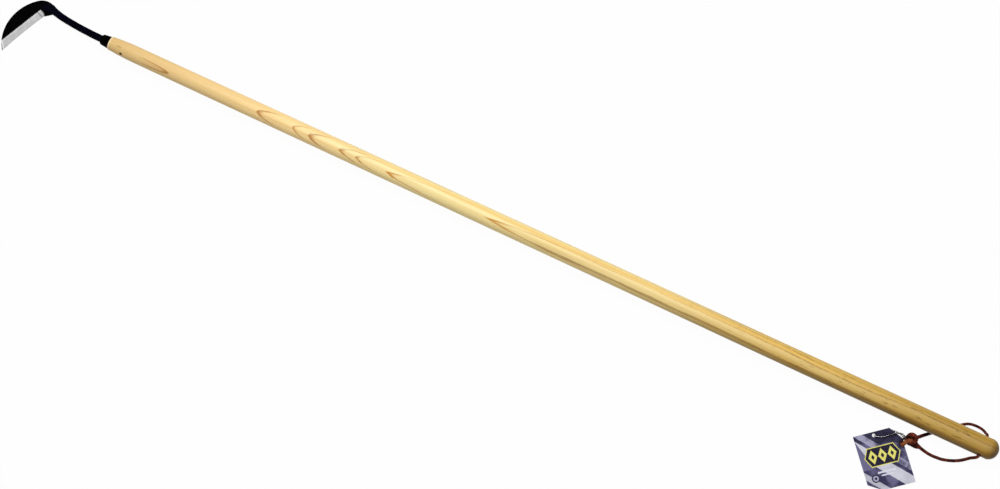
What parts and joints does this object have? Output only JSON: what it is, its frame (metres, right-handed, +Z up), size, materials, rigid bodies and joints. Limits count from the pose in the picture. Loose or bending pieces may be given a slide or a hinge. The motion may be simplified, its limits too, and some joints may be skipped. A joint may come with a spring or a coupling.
{
  "type": "long-handled weeding sickle",
  "caption": "Half-moon weeding blade on a forged gooseneck, set in a long tapered wooden pole, with a leather hanging lace and a card swing tag",
  "frame": {"origin": "on the floor plane under the middle of the tool's own box, without the lace, chain and tag", "axes": "+X runs along the pole from the blade to the butt, +Y is the side that the blade's back faces, +Z is up from the floor that the tool lies on"},
  "size_m": [1.5556, 0.1465, 0.034],
  "materials": {
    "wood": "pale straight-grained wood under clear satin varnish, darker towards the butt",
    "forged_steel": "forged steel, painted black, satin",
    "blade_steel": "black forge scale with a bare ground bevel along the cutting edge",
    "leather": "round reddish-brown leather lace, waxed",
    "plated_steel": "darkened nickel-plated steel ball chain",
    "card": "stiff printed card in navy, grey-purple and pale lavender"
  },
  "bodies": {
    "tool": {"pole": "wood", "ferrule": "forged_steel", "neck_tang": "forged_steel", "blade": "blade_steel", "tang_pin": "forged_steel"},
    "lace_loop": {"lace_near": "leather", "lace_far": "leather", "lace_knot": "leather", "lace_tails": "leather"},
    "chain": {"ball_chain": "plated_steel", "chain_clasp": "plated_steel"},
    "tag": {"tag_card": "card"}
  },
  "joints": [
    {"name": "lace_swing", "type": "hinge", "parent": "tool", "child": "lace_loop", "pos_m": [0.75477, 0.02594, 0.0187], "axis": [0, -1, 0], "range_deg": [0, 180]},
    {"name": "chain_slew", "type": "hinge", "parent": "lace_loop", "child": "chain", "pos_m": [0.65257, -0.00736, 0.0064], "axis": [0.0286, -0.0329, 0.999], "range_deg": [-25, 0]},
    {"name": "tag_swivel", "type": "hinge", "parent": "chain", "child": "tag", "pos_m": [0.61277, -0.02206, 0.0034], "axis": [0.0286, -0.0329, 0.999], "range_deg": [-45, 0]}
  ]
}
